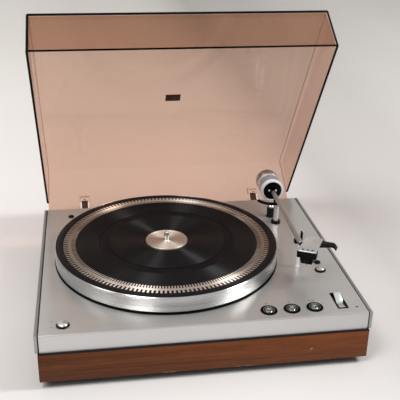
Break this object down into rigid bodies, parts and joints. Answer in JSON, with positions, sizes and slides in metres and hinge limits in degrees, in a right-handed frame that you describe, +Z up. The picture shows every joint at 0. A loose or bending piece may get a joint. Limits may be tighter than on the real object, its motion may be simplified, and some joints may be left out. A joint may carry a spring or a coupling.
{
  "type": "record player",
  "caption": "Belt driven record player with a wood plinth, brushed deck, sprung platter and arm, and a hinged tinted dust cover.",
  "frame": {"origin": "bottom centre of the bounding box with the cover open", "axes": "+X to the right along the front, +Y to the back, +Z up"},
  "size_m": [0.39, 0.4364, 0.3737],
  "materials": {
    "walnut": "satin",
    "hardboard": "matte",
    "brushed_aluminium": "brushed",
    "bright_metal": "polished",
    "satin_metal": "satin",
    "beige_metal": "brushed",
    "weight_metal": "satin",
    "steel": "satin",
    "black_plastic": "matte",
    "rubber": "matte",
    "smoke_acrylic": "gloss",
    "transformer_iron": "matte",
    "circuit_laminate": "matte",
    "dark_plate": "gloss"
  },
  "bodies": {
    "plinth": {"wood_plinth": "walnut", "base_cover": "hardboard", "foot_front_left": "rubber", "foot_front_right": "rubber", "foot_rear_left": "rubber", "foot_rear_right": "rubber", "chassis_frame": "black_plastic", "deck_plate": "brushed_aluminium", "side_rail_left": "bright_metal", "side_rail_right": "bright_metal", "motor": "steel", "transformer": "transformer_iron", "circuit_board": "circuit_laminate", "rear_panel": "black_plastic", "drive_belt": "rubber", "rest_post": "bright_metal", "rest_clip": "black_plastic", "button_bezel": "black_plastic", "cue_bezel": "black_plastic", "transit_screw_front": "black_plastic", "transit_screw_rear": "black_plastic", "hinge_base_left": "black_plastic", "hinge_base_right": "black_plastic"},
    "float": {"subchassis": "steel", "bearing_housing": "steel", "arm_pillar": "black_plastic", "lift_guide": "black_plastic", "spring_left": "bright_metal", "spring_right": "bright_metal", "spring_rear": "bright_metal"},
    "turntable": {"sub_platter": "satin_metal", "spindle": "bright_metal", "platter": "bright_metal", "platter_mat": "rubber", "strobe_ring": "beige_metal"},
    "disc": {"centre_disc": "beige_metal"},
    "pulley": {"motor_pulley": "steel"},
    "yoke": {"arm_yoke": "steel"},
    "arm": {"pivot_housing": "satin_metal", "pivot_face": "black_plastic", "arm_tube": "bright_metal", "headshell": "brushed_aluminium", "finger_lift": "black_plastic", "cartridge": "black_plastic", "stylus": "black_plastic"},
    "dial": {"force_dial": "bright_metal"},
    "weight": {"counterweight": "weight_metal"},
    "lift": {"lift_post": "bright_metal", "lift_bar": "black_plastic"},
    "cue_lever": {"cue_rocker": "bright_metal"},
    "push_left": {"button_left": "satin_metal"},
    "push_middle": {"button_middle": "satin_metal"},
    "push_right": {"button_right": "satin_metal"},
    "power": {"power_knob": "bright_metal"},
    "antiskate": {"antiskate_dial": "bright_metal"},
    "lid": {"dust_cover": "smoke_acrylic", "lid_badge": "dark_plate", "hinge_arm_left": "black_plastic", "hinge_arm_right": "black_plastic"}
  },
  "joints": [
    {"name": "suspension", "type": "slide", "parent": "plinth", "child": "float", "axis": [0, 0, 1], "range_m": [-0.0015, 0.001], "stiffness_N_per_m": 4000, "springref_m": 0.00797, "deforming": ["spring_left", "spring_right", "spring_rear"]},
    {"name": "platter_spin", "type": "hinge", "parent": "float", "child": "turntable", "pos_m": [-0.0292, -0.0464, 0.0777], "axis": [0, 0, -1], "continuous": true},
    {"name": "disc_lift_off", "type": "slide", "parent": "turntable", "child": "disc", "axis": [0, 0, 1], "range_m": [0, 0.03]},
    {"name": "pulley_spin", "type": "hinge", "parent": "plinth", "child": "pulley", "pos_m": [-0.1084, 0.0328, 0.0777], "axis": [0, 0, -1], "continuous": true},
    {"name": "arm_swing", "type": "hinge", "parent": "float", "child": "yoke", "pos_m": [0.137, 0.0543, 0.11225], "axis": [0, 0, -1], "range_deg": [-1.2, 41]},
    {"name": "arm_tilt", "type": "hinge", "parent": "yoke", "child": "arm", "pos_m": [0.137, 0.0543, 0.11225], "axis": [0.999, -0.0447, 0], "range_deg": [0, 1.54]},
    {"name": "lift_travel", "type": "slide", "parent": "float", "child": "lift", "axis": [0, 0, -1], "range_m": [0, 0.0008]},
    {"name": "cue_rock", "type": "hinge", "parent": "plinth", "child": "cue_lever", "pos_m": [0.163, -0.1862, 0.06875], "axis": [-1, 0, 0], "range_deg": [0, 22]},
    {"name": "weight_slide", "type": "slide", "parent": "arm", "child": "weight", "axis": [0.0446, 0.9984, -0.0349], "range_m": [0, 0.01]},
    {"name": "force_turn", "type": "hinge", "parent": "arm", "child": "dial", "pos_m": [0.13802, 0.07706, 0.11145], "axis": [0.0446, 0.9984, -0.0349], "range_deg": [0, 270]},
    {"name": "button_left_press", "type": "slide", "parent": "plinth", "child": "push_left", "axis": [0, 0, -1], "range_m": [0, 0.0012], "stiffness_N_per_m": 800, "springref_m": -0.001},
    {"name": "button_middle_press", "type": "slide", "parent": "plinth", "child": "push_middle", "axis": [0, 0, -1], "range_m": [0, 0.0012], "stiffness_N_per_m": 800, "springref_m": -0.001},
    {"name": "button_right_press", "type": "slide", "parent": "plinth", "child": "push_right", "axis": [0, 0, -1], "range_m": [0, 0.0012], "stiffness_N_per_m": 800, "springref_m": -0.001},
    {"name": "power_turn", "type": "hinge", "parent": "plinth", "child": "power", "pos_m": [-0.1633, -0.1974, 0.07], "axis": [0, 0, -1], "range_deg": [0, 42]},
    {"name": "antiskate_turn", "type": "hinge", "parent": "plinth", "child": "antiskate", "pos_m": [0.1626, -0.1122, 0.07], "axis": [0, 0, -1], "range_deg": [0, 270]},
    {"name": "lid_hinge", "type": "hinge", "parent": "plinth", "child": "lid", "pos_m": [0, 0.12916, 0.0201], "axis": [-1, 0, 0], "range_deg": [-57.36, 0]}
  ],
  "couplings": [
    {"joint": "pulley_spin", "follows": "platter_spin", "ratio": 12.485},
    {"joint": "cue_rock", "follows": "arm_tilt", "ratio": 14.2},
    {"joint": "lift_travel", "follows": "arm_tilt", "m_per_rad": 0.0242}
  ]
}
